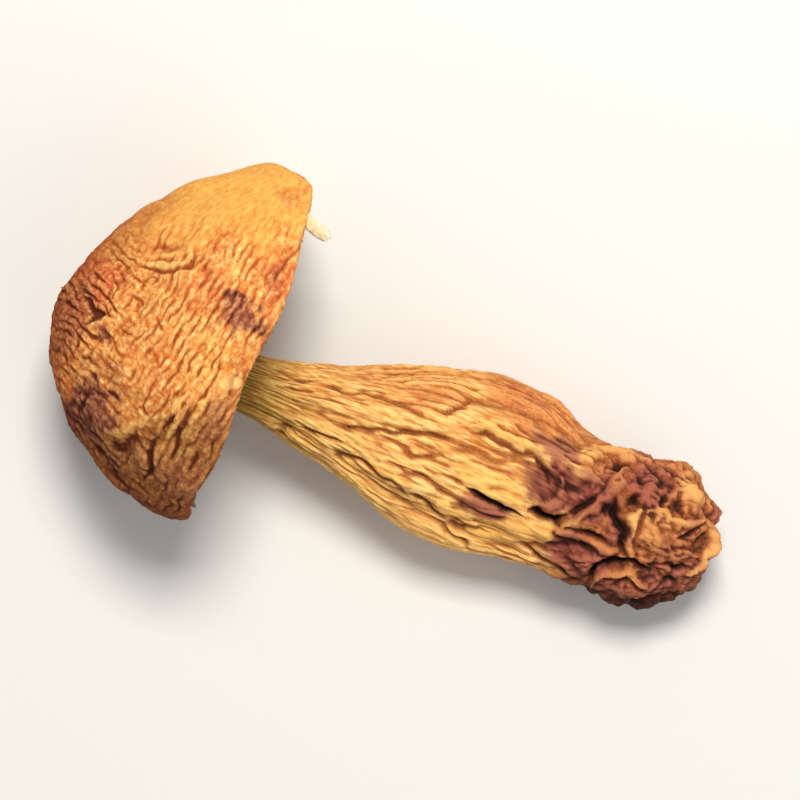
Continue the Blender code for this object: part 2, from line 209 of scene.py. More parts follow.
CAP_BARS = (
    (((-10.9, -12.4), (-9.9, -11.7), (-9.0, -11.0), (-7.9, -10.0), (-7.0, -9.3)),
     0.18, 0.50, 0.06),
    (((-5.6, -7.9), (-5.2, -7.0), (-4.7, -6.0)), 0.18, 0.30, 0.7),
    (((-13.1, 4.6), (-10.9, 5.0), (-9.0, 6.0)), 0.07, 0.26, 0.4),
    (((-11.4, 5.9), (-9.6, 6.9)), 0.06, 0.30, 0.4),
    (((-15.8, -3.3), (-15.0, -1.9), (-13.6, -1.6)), 0.12, 0.28, 0.12),
    (((-5.4, -9.2), (-4.9, -8.4)), 0.16, 0.28, 0.5),
    (((-5.2, -10.9), (-4.7, -9.6)), 0.16, 0.26, 0.35),
)

# Stains are ovals drawn in the same way, and a few of them are painted shade: strength, X, Y,
# half length, half width, turn in degrees and how ragged the edge is.
CAP_STAINS = {
    "bruise_and_shade": (
        (1.00, -13.2, -10.2, 2.8, 2.8, -60, 0.8),
        (0.62, -17.8, -2.4, 1.9, 4.8, 0, 0.5),
        (0.40, -0.5, -4.6, 1.3, 2.2, 0, 0.7),
        (1.00, -2.0, 3.1, 3.3, 1.7, -22, 0.9),
        (0.90, -13.9, -3.0, 1.3, 0.8, -35, 0.5),
        (0.60, -1.5, -7.6, 1.5, 2.6, 0, 0.5),
        (0.50, -3.6, -13.8, 4.6, 2.4, 0, 0.8),
        (0.35, 0.2, 6.6, 0.9, 2.6, 0, 0.7),
        (0.40, -12.6, -6.6, 3.0, 1.6, -30, 0.9),
        # Painted shadow under the lip of the fold.
        (0.45, -8.2, -13.0, 2.6, 1.3, 38, 0.6),
        # Painted shadow of a neighbouring mushroom along the upper left edge.
        (0.25, -14.4, 7.6, 3.6, 0.8, 64, 0.7),
    ),
    "red": (
        (1.00, -16.2, 1.6, 2.6, 2.4, 20, 0.6),
        (0.60, -17.0, -2.6, 1.8, 3.6, 0, 0.8),
        (0.70, -12.0, 6.9, 2.6, 1.0, 14, 0.6),
        (0.55, -5.4, 4.2, 3.4, 2.0, 0, 0.9),
        (0.60, -1.2, 8.8, 1.5, 1.6, 0, 0.6),
        (0.80, 0.6, 6.6, 1.4, 3.2, 0, 0.6),
        (0.45, -0.6, 16.0, 2.0, 0.9, 70, 0.9),
    ),
    "gold": ((1.00, -3.4, -4.0, 3.0, 5.0, 10, 0.8), (1.00, -4.2, -12.6, 1.4, 3.2, 0, 0.6)),
    # Painted shade: where the furrows are darkened further, on the left and lower left.
    "dusky": ((1.00, -16.0, -2.0, 2.8, 6.0, 0, 0.8), (1.00, -12.6, -10.4, 2.4, 5.0, 42, 0.8)),
    "pale": ((0.50, -0.9, -3.8, 0.9, 0.6, 0, 0.5),),
    "corner": ((1.00, -0.6, 16.0, 2.2, 0.9, 70, 1.6),),
}
STEM_STAINS = {
    "bruise_and_shade": (
        (1.00, 31.9, -3.6, 3.4, 2.7, -30, 0.35),
        (1.00, 35.4, -3.2, 3.0, 2.6, 0, 0.4),
        (1.00, 26.6, -7.6, 3.4, 1.0, -8, 0.2),
        (1.00, 36.0, -8.8, 4.0, 2.4, -8, 0.4),
        (0.95, 40.7, -0.4, 2.8, 2.3, 0, 0.5),
        (0.90, 38.6, -4.9, 1.5, 2.9, 25, 0.4),
        (0.70, 44.6, -6.4, 2.6, 1.7, 20, 0.5),
        # Painted shade in the hollow between two lumps, with some bruise colour.
        (0.85, 45.9, -3.2, 0.9, 1.1, 0, 0.4),
        # Partly painted shade on the low far end of the base.
        (0.90, 46.2, -7.6, 2.8, 1.5, 35, 0.5),
        (0.90, 41.0, -10.9, 3.4, 1.5, 5, 0.5),
        (0.90, 30.8, 0.1, 3.0, 1.2, -16, 0.5),
        # Partly painted shade on the low far end of the base.
        (0.90, 44.4, -9.6, 3.4, 2.0, 20, 0.5),
    ),
    "cream": (
        (0.90, 44.8, 0.6, 1.6, 2.1, 18, 0.4),
        (0.60, 34.8, 1.0, 1.4, 0.8, 30, 0.4),
        (0.40, 26.0, -4.6, 3.6, 1.4, -8, 0.4),
        (0.90, 28.8, -9.0, 3.4, 1.3, 16, 0.4),
        (0.45, 41.8, -4.2, 1.5, 1.8, 20, 0.8),
    ),
    "smooth": ((1.00, 28.5, 3.6, 6.5, 2.6, -8, 0.3),),
    "plain": ((0.80, 30.8, -4.2, 2.6, 2.0, -60, 0.3),),
    "crumpled": ((0.12, 36.0, -8.6, 4.0, 2.4, 0, 0.5),),
    "filled": ((0.50, 28.8, -9.0, 3.6, 1.4, 16, 0.4),),
    "pink": ((0.40, 15.0, 1.6, 7.0, 2.2, 6, 0.8),),
}

# Ridges run from 0 in a crease to 1 on top, and this height lies on the smooth form.
MID_RIDGE = 0.6
# Combed skin: the distance between its furrows, and how high the breaks in them lie.
COMB_PITCH, COMB_BREAK = 0.87 * MM, 0.75
# Ridges along the stem: length, how many go round it, seed and how far they wander.
STEM_RIDGES = (
    (13 * MM, 2.6, 211, 0.5),
    (11 * MM, 8.5, 231, 0.5),
    (4.5 * MM, 16, 251, 0.7),
    (2.6 * MM, 4.2, 261, 1.0),
)
# Folds of its base: size, seed and how far they wander.
BASE_FOLDS = ((3.4 * MM, 271, 0.9), (1.1 * MM, 291, 0.9), (0.5 * MM, 311, 0.8))
# Half width of the stem where it is widest.
WIDEST = 8.7 * MM

# Spans in which a form or a tone sets in: on the cap along its outline, or across it.
SKIN_ENDS, FINE_SKIN_ENDS = (0.985, 1.03), (1.02, 1.08)
RIM_STARTS, BED_STARTS = (0.985, 0.997), (1.04, 1.10)
FELT_EDGE, FELT_LEVEL = (7.0 * MM, 15.0 * MM), (9 * MM, 16 * MM)
MARGIN_BAND = (-13 * MM, -8 * MM)
# The same on the stem, along X.
UNDER_CAP, NECK_ENDS = (-6 * MM, 0), (0, 14 * MM)
NOTCHES_START = (4 * MM, 16 * MM)
LIT_EDGE_STARTS, LIT_EDGE_ENDS = (3 * MM, 8 * MM), (22 * MM, 29 * MM)
SHOULDER_STARTS, SHADE_STARTS = (18 * MM, 26 * MM), (30 * MM, 40 * MM)
FAR_END = (38 * MM, 42 * MM)

CAP_STEPS, CAP_RINGS, LIP_RINGS, BED_RINGS = 480, 176, 9, 19
STEM_STEPS, STEM_RINGS, BASE_RINGS = 400, 150, 118
# How far along the stem its rings get closer, for the base.
BASE_STARTS = 0.84
GILLS, SHORT_GILLS, GILL_ROWS, GILL_LEVELS = 118, 118, 30, 4
# Seed of the gills' chance differences, their height in millimetres and half their wall.
GILL_SEED, GILL_HEIGHT, GILL_WALL = 5, 2.3, 0.11 * MM
VEIL_STEPS, VEIL_LEVELS = 900, 7
SCRAP_ROWS, SCRAP_STEPS, SCRAP_WALL = 40, 24, 0.20 * MM
# Where round the margin the rolled scrap of veil starts, in degrees from the side.
SCRAP_ANGLE = 38

CAMERA_TURN = math.radians(18.3)
CAMERA_HEIGHT = 0.34
# Height at which the camera shows the lines drawn from above in their true size.
DRAWN_LEVEL = 13.9 * MM
LENS, SENSOR = 152, 36
FLOOR_REACH = 6.0
# Lamps: place in the picture to the right, upwards and towards the camera, size, power
# and tint.
LAMPS = {
    "key": ((0.02, 0.19, 0.45), 0.14, 2.25, (1.0, 0.97, 0.92)),
    "fill": ((0.30, -0.20, 0.30), 0.40, 0.5, (1.0, 0.97, 0.94)),
}
SURROUND, SURROUND_STRENGTH = (0.92, 0.95, 1.0, 1), 0.34


def lattice_noise(points, seed):
    """Smooth noise: a random slope at each whole-number point, blended between them."""
    slopes = np.random.default_rng(seed).normal(size=(256, 3))
    slopes /= np.linalg.norm(slopes, axis=1)[:, None]
    order = np.random.default_rng(seed + 1).permutation(256)
    cell = np.floor(points).astype(np.int64)
    inside = points - cell
    fade = inside**3 * (inside * (6 * inside - 15) + 10)
    total = np.zeros(len(points))
    for corner in np.ndindex(2, 2, 2):
        at = (cell + corner) & 255
        pick = order[(order[(order[at[:, 0]] + at[:, 1]) & 255] + at[:, 2]) & 255]
        share = np.where(np.array(corner) == 1, fade, 1 - fade).prod(axis=1)
        total += share * ((inside - corner) * slopes[pick]).sum(axis=1)
    return total


def uneven(points, size, seed):
    """Smooth noise whose waves have about this size in millimetres."""
    return lattice_noise(points / (size * MM), seed)


def wrinkles(points, seed, bend=0.6):
    """Rounded ridges with sharp creases between them, 0 in a crease and about 1 on a ridge.

    It is the size of smooth noise, whose zero lines are the creases. The points are in
    cells, about one ridge to a cell, and slower noise bends them first.
    """
    slow = points * 0.5
    bent = [lattice_noise(slow + 17.3 * (k + 1), seed + 10 * k) for k in (1, 2, 3)]
    noise = lattice_noise(points + bend * np.stack(bent, axis=1), seed)
    return np.minimum(np.abs(noise) / 0.42, 1.0) ** 0.75


def combed(points, across, ahead, seed):
    """Even ridges side by side, 0 in a furrow and 1 on a ridge, with breaks in the furrows.

    The distances across and ahead are in metres. Noise bends the furrows, and slower noise
    along each of them breaks it into dashes.
    """
    bent = across + 0.8 * MM * uneven(points, 2.8, seed)
    bent += 0.45 * MM * uneven(points, 1.1, seed + 1)
    ridge = np.abs(np.sin(math.pi * bent / COMB_PITCH)) ** 0.8
    dashes = np.stack([bent / (0.8 * MM), ahead / (1.9 * MM), 0 * ahead], axis=1)
    kept = smooth_step(lattice_noise(dashes, seed + 2), -0.20, 0.16)
    return COMB_BREAK + kept * (ridge - COMB_BREAK)


def layered(*layers):
    """Relief of ridges laid over each other, each with its height in millimetres."""
    return sum(height * MM * (ridges - MID_RIDGE) for height, ridges in layers)


def smooth_step(value, low, high):
    """0 below low, 1 above high, and a smooth rise between them."""
    share = np.clip((value - low) / (high - low), 0, 1)
    return share * share * (3 - 2 * share)


def through(stations, at):
    """Columns 1 onwards of stations at these values of column 0, on a smooth curve."""
    table = np.array(stations, float)
    where, values = table[:, 0], table[:, 1:]
    slopes = np.gradient(values, where, axis=0)
    left = np.clip(np.searchsorted(where, at) - 1, 0, len(where) - 2)
    span = where[left + 1] - where[left]
    share = np.clip((at - where[left]) / span, 0, 1)[:, None]
    span = span[:, None]
    start, end = values[left], values[left + 1]
    rise_out, rise_in = slopes[left] * span, slopes[left + 1] * span
    return (
        start * (1 + 2 * share) * (1 - share) ** 2
        + rise_out * share * (1 - share) ** 2
        + end * share**2 * (3 - 2 * share)
        + rise_in * share**2 * (share - 1)
    )


def distance_to_line(x, y, corners):
    """Distance, seen from above, from each point to a line through these corners."""
    nearest = np.full(len(x), np.inf)
    for (x0, y0), (x1, y1) in zip(corners[:-1], corners[1:]):
        run = np.array([x1 - x0, y1 - y0]) * MM
        start = np.array([x0, y0]) * MM
        share = ((x - start[0]) * run[0] + (y - start[1]) * run[1]) / (run @ run)
        share = np.clip(share, 0, 1)
        away = np.hypot(x - start[0] - share * run[0], y - start[1] - share * run[1])
        nearest = np.minimum(nearest, away)
    return nearest


def as_seen(points):
    """The points as the camera shows them, in the scale of the drawn lines.

    A point that lies higher is nearer to the camera, and so further from the middle.
    """
    middle = np.array(REST_CENTRE)
    grown = (CAMERA_HEIGHT - DRAWN_LEVEL) / (CAMERA_HEIGHT - points[:, 2])
    seen = middle + (points[:, :2] - middle) * grown[:, None]
    return np.column_stack([seen, points[:, 2]])


def shaken(points, reach, size, seed):
    """X and Y of the points, moved about by noise so that drawn shapes come out uneven."""
    x = points[:, 0] + reach * MM * uneven(points, size, seed)
    return x, points[:, 1] + reach * MM * uneven(points, size, seed + 1)


def tapered(x, y, corners):
    """1 along a drawn line, falling to 0.35 at both of its ends."""
    ends = [np.hypot(x - at[0] * MM, y - at[1] * MM) for at in (corners[0], corners[-1])]
    return 0.35 + 0.65 * smooth_step(np.minimum(*ends), 0, 1.3 * MM)


def creases(points, lines):
    """Depth at each point of creases that are cut as V shapes with soft lips."""
    x, y = shaken(points, 0.7, 1.7, 51)
    depth = np.zeros(len(points))
    for corners, deepest, half_width in lines:
        full = tapered(x, y, corners)
        away = distance_to_line(x, y, corners) / full
        cut = full * np.exp(-np.abs(away / (half_width * MM)) ** 1.5)
        depth = np.maximum(depth, deepest * MM * cut)
    return depth


def bars(points, lines):
    """Height at each point of rounded bars, and how pale they make it."""
    x, y = shaken(points, 0.8, 1.7, 51)
    height, paleness = np.zeros(len(points)), np.zeros(len(points))
    for corners, top, half_width, pale in lines:
        away = distance_to_line(x, y, corners) / tapered(x, y, corners)
        rounded = np.clip(1 - (away / (half_width * MM)) ** 2 / 1.8, 0, 1)
        height = np.maximum(height, top * MM * rounded)
        paleness = np.maximum(paleness, pale * smooth_step(rounded, 0.25, 0.8))
    return height, paleness


def oval(at_x, at_y, x, y, length, width, turn):
    """Distance from the middle of a turned oval, 1 at its half length and half width."""
    angle = math.radians(turn)
    east, north = at_x - x * MM, at_y - y * MM
    ahead = (east * math.cos(angle) + north * math.sin(angle)) / (length * MM)
    aside = (north * math.cos(angle) - east * math.sin(angle)) / (width * MM)
    return np.hypot(ahead, aside)


def knots(points, rows):
    """Height at each point of rounded knots, the highest one winning where they meet."""
    x, y = shaken(points, 1.7, 2.1, 55)
    return np.maximum.reduce([
        top * MM * np.clip(1 - oval(x, y, *shape) ** 2 / 2.2, 0, 1) for top, *shape in rows
    ])


def stains(points, rows):
    """Ovals with ragged edges, full inside and 0 outside, the strongest one winning."""
    x, y = shaken(points, 1.4, 2.1, 55)
    rough = uneven(points, 1.0, 71)
    return np.maximum.reduce([
        strength * (1 - smooth_step(oval(x, y, *shape) + ragged * rough, 0.6, 1.25))
        for strength, *shape, ragged in rows
    ])


def sunken(relief, rows, reach_rows, reach_steps):
    """How far each point lies below the mean of the points around it on the grid."""
    grid = relief.reshape(rows, -1)
    around = sum(np.roll(grid, k, axis=1) for k in range(-reach_steps, reach_steps + 1))
    around = np.pad(around / (2 * reach_steps + 1), ((reach_rows, reach_rows), (0, 0)), "edge")
    near = sum(around[k:k + rows] for k in range(2 * reach_rows + 1))
    return (near / (2 * reach_rows + 1) - grid).ravel()


def normals_of(grid):
    """Outward normals of a grid whose rows are closed rings, from its neighbours."""
    ahead = np.roll(grid, -1, axis=1) - np.roll(grid, 1, axis=1)
    down = np.gradient(grid, axis=0)
    across = np.cross(ahead, down)
    size = np.linalg.norm(across, axis=2, keepdims=True)
    return across / np.maximum(size, 1e-12)


def unit(vectors):
    """Vectors brought to a length of 1."""
    return vectors / np.linalg.norm(vectors, axis=-1, keepdims=True)


def faces_of(*corners):
    """Faces from one array of point numbers for each of their corners."""
    return np.stack(corners, axis=-1).reshape(-1, len(corners))


def mesh_piece(name, points, faces, attributes, material):
    """An object from points and arrays of faces, with named numbers for each point."""
    mesh = bpy.data.meshes.new(name)
    corners = np.concatenate([part.ravel() for part in faces]).astype(np.int32)
    sizes = np.concatenate([np.full(len(part), part.shape[1]) for part in faces])
    starts = np.concatenate([[0], np.cumsum(sizes)[:-1]]).astype(np.int32)
    mesh.vertices.add(len(points))
    mesh.vertices.foreach_set("co", points.astype(np.float32).ravel())
    mesh.loops.add(len(corners))
    mesh.loops.foreach_set("vertex_index", corners)
    mesh.polygons.add(len(sizes))
    mesh.polygons.foreach_set("loop_start", starts)
    mesh.update(calc_edges=True)
    mesh.validate()
    for key, values in attributes.items():
        layer = mesh.attributes.new(key, "FLOAT", "POINT")
        layer.data.foreach_set("value", values.astype(np.float32).ravel())
    mesh.shade_smooth()
    mesh.materials.append(material)
    piece = bpy.data.objects.new(name, mesh)
    bpy.context.scene.collection.objects.link(piece)
    return piece


def poled(rings):
    """All rings but the first and the last, and then one point for each of those two."""
    between = rings[1:-1].reshape(-1, *rings.shape[2:])
    return np.concatenate([between, rings[:1, 0], rings[-1:, 0]])


def closed_skin(name, grid, attributes, material):
    """A closed skin: rows are rings from one pole to the other, the poles one point each."""
    rows, steps = grid.shape[:2]
    index = np.arange((rows - 2) * steps).reshape(rows - 2, steps)
    beside = np.roll(index, -1, axis=1)
    faces = [
        faces_of(index[:-1], beside[:-1], beside[1:], index[1:]),
        faces_of(np.full(steps, index.size), beside[0], index[0]),
        faces_of(np.full(steps, index.size + 1), index[-1], beside[-1]),
    ]
    kept = {key: poled(values.reshape(rows, steps)) for key, values in attributes.items()}
    return mesh_piece(name, poled(grid), faces, kept, material)


def strips(name, grid, attributes, material):
    """Many closed strips at once: each is a row of closed rings with both ends covered."""
    count, rows, steps = grid.shape[:3]
    index = np.arange(count * rows * steps).reshape(count, rows, steps)
    beside = np.roll(index, -1, axis=2)
    faces = [faces_of(index[:, :-1], index[:, 1:], beside[:, 1:], beside[:, :-1])]
    for row, turned in ((0, False), (rows - 1, True)):
        left = index[:, row, :steps // 2]
        right = index[:, row, ::-1][:, :steps // 2]
        cover = faces_of(left[:, :-1], left[:, 1:], right[:, 1:], right[:, :-1])
        faces.append(cover[:, ::-1] if turned else cover)
    return mesh_piece(name, grid.reshape(-1, 3), faces, attributes, material)


def cap_outline(along, angle):
    """Radius and height of the cap's skin and underside before it dried."""
    bluntness = 1.68 - 0.30 * np.cos(angle)
    turn = np.clip(along, 0, 1) * (math.pi / 2 + MARGIN_ROLL)
    radius = CAP_RADIUS * np.sin(turn) ** (2 / bluntness)
    level = np.cos(turn)
    height = CAP_HEIGHT * np.where(level > 0, np.abs(level) ** (2 / bluntness), level)
    under = through(UNDERSIDE, np.clip(along - 1, 0, 1))
    edge = CAP_RADIUS * math.cos(MARGIN_ROLL) ** (2 / bluntness) / UNDERSIDE[0][1]
    below = along > 1
    radius = np.where(below, edge * under[:, 0], radius)
    return radius, np.where(below, under[:, 1], height)


def cap_point(along, angle, lift=0.0):
    """A point of the cap: along runs from 0 at the crown over 1 at the margin to 2."""
    radius, height = cap_outline(along, angle)
    lobes = 0.020 * np.cos(2 * angle + 0.6) + 0.014 * np.cos(3 * angle - 1.0)
    lobes += 0.008 * np.cos(5 * angle + 2.0) - 0.028 * np.cos(angle) ** 2
    radius = radius * (1 + lobes)
    near_margin = np.exp(-(((along - 1) / 0.3) ** 2))
    wave = 0.45 * np.cos(2 * angle + 1.2) + 0.35 * np.cos(3 * angle + 0.3)
    wave += 0.2 * np.cos(7 * angle + 0.5) + 1.3 * np.exp(-(((np.cos(angle) + 1) / 0.25) ** 2))
    height = height + MM * near_margin * wave - lift
    stem_share = smooth_step(along, 1.1, 1.85)
    side = radius * np.cos(angle) + stem_share * STEM_STATIONS[0][1]
    up = radius * np.sin(angle)
    up = up * np.where(up > 0, CAP_SQUASH_ABOVE, CAP_SQUASH_BELOW)
    raised, level = math.sin(CAP_TILT), math.cos(CAP_TILT)
    x = CAP_CENTRE[0] - height * level + up * raised
    z = CAP_CENTRE[2] + height * raised + up * level
    return np.stack([x, CAP_CENTRE[1] + side, z], axis=1)


def at_rest(points):
    """Points pressed flat on the floor, and moved from the drawing's frame to the row's."""
    points = points - np.array([*REST_CENTRE, 0.0])
    points[:, 2] = np.maximum(points[:, 2], 0)
    return points


class Skin:
    """A smooth grid of closed rings, its outward normals and the side that faces up."""

    def __init__(self, smooth, rows, upper_side):
        self.smooth = smooth
        self.rows = rows
        self.outward = normals_of(smooth.reshape(rows, -1, 3)).reshape(-1, 3)
        self.upper = smooth_step(smooth[:, 2], *upper_side)

    def moved(self, relief):
        """The points, each moved outwards by its relief."""
        return self.smooth + self.outward * relief[:, None]

    def draw(self, coarse, lines, raised, stained):
        """Works out what is drawn from above: cuts, bars and their paleness, and stains.

        It is drawn on the points as the coarse relief moves them and the camera shows
        them, and only on the side that faces up.
        """
        self.seen = as_seen(self.moved(coarse))
        self.cut = creases(self.seen, lines) * self.upper
        self.raised, self.pale = (part * self.upper for part in bars(self.seen, raised))
        self.stain = {name: stains(self.seen, rows) * self.upper for name, rows in stained.items()}

    def closed(self, name, relief, attributes, material):
        """The finished piece, at rest on the floor."""
        grid = at_rest(self.moved(relief)).reshape(self.rows, -1, 3)
        return closed_skin(name, grid, attributes, material)


def cap_wrinkles(smooth, near_rim, strength, bare):
    """The relief of the cap's wrinkles, its network of furrows and its loose crinkles.

    Furrows run along the margin near it, and others cross them near the crown. Wide folds
    and loose crinkles lie over both, and all of them are weaker where the skin isn't bare.
    """
    x, y, z = smooth.T
    arc = np.arctan2(np.hypot(y, z - CAP_CENTRE[2]), CAP_CENTRE[0] - x + 4 * MM) * CAP_RADIUS
    parallel = combed(smooth, 0.97 * arc - 0.25 * y, y, 101)
    crossing = combed(smooth, 0.39 * x + 0.92 * y, 0.92 * x - 0.39 * y, 131)
    parallel = 0.8 + (0.35 + 0.65 * near_rim) * (parallel - 0.8)
    crossing = 0.8 + (1 - 0.85 * near_rim) * (crossing - 0.8)
    network = np.minimum(parallel, crossing)
    folds = wrinkles(smooth / (4.6 * MM), 161, bend=0.8)
    loose = wrinkles(smooth / (0.55 * MM), 181, bend=0.8)
    relief = layered(
        (0.18 * (0.15 + 0.85 * bare) * (0.3 + 0.7 * strength), network),
        (0.11 * (0.3 + 0.7 * bare), loose),
        (0.18 * (0.25 + 0.75 * bare), folds),
    )
    return relief, network, loose


def cap_tones(skin, felt, ragged, fine_skin):
    """The cap's tones by name: bruises and painted shade on the low parts, red and gold skin, an
    olive tone towards the bottom that is partly painted shade, felt, and painted shade on the
    steep side.
    """
    x, y = skin.smooth[:, 0], skin.smooth[:, 1]
    # Bruise tone, partly random blotches and partly painted shade: it also covers the cap's low
    # parts and its lower side, where shade falls.
    blotches = smooth_step(uneven(skin.smooth, 6, 61), 0.12, 0.4)
    blotches = np.maximum(blotches, smooth_step(-y, 1 * MM, 9 * MM))
    bruise_and_shade = np.maximum(skin.stain["bruise_and_shade"], 0.7 * blotches * (1 - skin.upper) * (1 - felt))
    # Painted shade: the steep left and lower sides of the cap are darkened as if in shade, and
    # lose their felt there.
    side = smooth_step(-x - 0.8 * y + 4 * MM * uneven(skin.smooth, 5, 37), -3 * MM, 12 * MM)
    side = side * smooth_step(0.75 - skin.outward[:, 2], 0, 0.6) * fine_skin
    return {
        "bruise_and_shade": bruise_and_shade * fine_skin,
        "felt": felt * (1 - 0.8 * side) * (1 - 0.5 * skin.stain["corner"]),
        # Olive tone towards the bottom of the cap, partly its colour and partly painted shade on
        # the side away from the light.
        "olive_and_shade": smooth_step(-y + 0.3 * x + ragged, 4 * MM, 10 * MM),
        "red": skin.stain["red"],
        "gold": skin.stain["gold"],
        "side": side,
    }


def cap_skin(material):
    """The cap's wrinkled skin over its crown and margin, and the bed that its gills grow on.

    The smooth cap is moved outwards along its normals by dents and folds, then by
    wrinkles that run along the margin near it and cross each other near the crown. The
    far side stays smooth, as felt.
    """
    lip = 1 + np.linspace(0, LIP_END, LIP_RINGS + 1)[1:]
    bed = 1 + np.linspace(LIP_END, 1, BED_RINGS + 1)[1:]
    rows = np.concatenate([np.linspace(0, 1, CAP_RINGS), lip, bed])
    along = np.repeat(rows, CAP_STEPS)
    turn = np.arange(CAP_STEPS) * 2 * math.pi / CAP_STEPS
    angle = np.tile(turn + 0.3 * np.cos(turn), len(rows))
    skin = Skin(cap_point(along, angle), len(rows), CAP_UPPER_SIDE)
    smooth = skin.smooth
    x, y, z = smooth.T
    outside = 1 - smooth_step(along, *SKIN_ENDS)
    fine_skin = 1 - smooth_step(along, *FINE_SKIN_ENDS)
    rim, bed = smooth_step(along, *RIM_STARTS), smooth_step(along, *BED_STARTS)
    dents = DENT_DEPTH * lattice_noise(smooth / DENT_SIZE, 11)
    dents += FOLD_DEPTH * (np.abs(lattice_noise(smooth / FOLD_SIZE, 12)) - TYPICAL_NOISE)
    skin.draw(outside * dents, CAP_CREASES, CAP_BARS, CAP_STAINS)

    # Where the skin is felt-like, and where its wrinkles follow the margin.
    ragged = 2.6 * MM * uneven(smooth, 3.5, 31)
    felt = smooth_step(y - 0.38 * x + 1.4 * ragged, *FELT_EDGE)
    felt = felt * (0.45 + 0.55 * smooth_step(z + ragged, *FELT_LEVEL))
    near_rim = smooth_step(x + 0.35 * y + 9 * MM * uneven(smooth, 2.4, 33), *MARGIN_BAND)
    strength = np.clip(0.8 + 1.3 * uneven(smooth, 2.2, 41), 0.25, 1.2)
    bare = 1 - felt

    relief, network, loose = cap_wrinkles(smooth, near_rim, strength, bare)
    relief = fine_skin * (relief + skin.raised) * (1 - 0.3 * rim) + outside * (dents - skin.cut)
    puckers = wrinkles(np.column_stack([along * 22, 16 * np.cos(angle), 16 * np.sin(angle)]), 171)
    relief += 0.14 * MM * smooth_step(along, 0.97, 1.0) * (1 - bed) * (puckers - 0.5)

    # How low each point lies, how high it stands and how dark it is. The hollows are partly the
    # furrows' browner skin and partly painted shade, dark is painted shade in the deepest creases,
    # and the crest gives a painted highlight on the ridges.
    low, wide_low = sunken(relief, len(rows), 3, 4), sunken(relief, len(rows), 8, 12)
    lined = (0.10 + 0.90 * bare) * strength * np.clip((0.72 - network) / 0.38, 0, 1)
    hollow = lined + wide_low / (0.8 * MM) + skin.cut / (0.3 * MM) + 0.5 * (0.4 - loose) * bare
    hollow = np.clip(hollow, 0, 1) * fine_skin
    crest = (network - 0.72) / 0.20 * (0.2 + 0.8 * bare) - low / (0.14 * MM)
    # Painted shade in the deepest creases and, where dusky, in the furrows.
    dark = np.clip(skin.cut / (0.45 * MM) - 0.25, 0, 1) * outside
    dark = np.maximum(dark, 0.75 * skin.stain["dusky"] * smooth_step(hollow, 0.3, 0.9))
    attributes = {
        "hollow": hollow, "crest": np.clip(crest, 0, 1) * fine_skin, "dark": dark,
        "pale": np.maximum(skin.pale, skin.stain["pale"]),
        "rim": rim, "bed": bed, "slant": near_rim,
        **cap_tones(skin, felt, ragged, fine_skin),
    }
    return skin.closed("cap_skin", relief, attributes, material)


def thin_loop(levels):
    """The outline of a thin wall: how far up each point is, and on which side."""
    rise = np.linspace(0, 1, levels)
    return np.concatenate([rise, rise[::-1]]), np.repeat([1.0, -1.0], levels)


def filled(shape, *parts):
    """Each of the parts repeated over the whole shape, as one row of numbers."""
    return [np.broadcast_to(part, shape).ravel() for part in parts]


def gill_blades(material):
    """The gills: thin wavy blades from the margin towards the stem, short ones between.

    Each blade is carried along a ray of the cap's bed. Its section is a thin flat loop
    that stands on the bed and tapers to the blade's edge.
    """
    count = GILLS + SHORT_GILLS
    draw = np.random.default_rng(GILL_SEED)
    turn = (np.arange(count) + draw.uniform(-0.25, 0.25, count)) * 2 * math.pi / count
    is_long = np.arange(count) % 2 == 0
    inner = np.where(is_long, draw.uniform(0.78, 0.84, count), draw.uniform(0.35, 0.6, count))
    share = np.linspace(0, 1, GILL_ROWS)
    along = BED_STARTS[1] + (inner[:, None] - LIP_END) * share
    height = (GILL_HEIGHT + draw.uniform(-0.3, 0.3, count))[:, None] * MM
    height = height * np.sin(math.pi * np.clip(share * 0.93 + 0.05, 0, 1)) ** 0.5
    height = height * np.where(is_long, 1.0, 0.75)[:, None]
    up, side = thin_loop(GILL_LEVELS)
    full = (count, GILL_ROWS, len(up))
    along, turn, height, up, side = filled(
        full, along[:, :, None], turn[:, None, None], height[:, :, None], up, side)
    wave = 0.9 * MM * up * lattice_noise(np.column_stack([turn * 9, along * 9, up * 1.2]), 81)
    shift = side * GILL_WALL * (1.1 - 0.6 * up) + wave
    radius = cap_outline(along, turn)[0]
    points = cap_point(along, turn + shift / radius, height * up - 0.25 * MM)
    return strips("gills", at_rest(points).reshape(*full, 3), {"edge": up}, material)


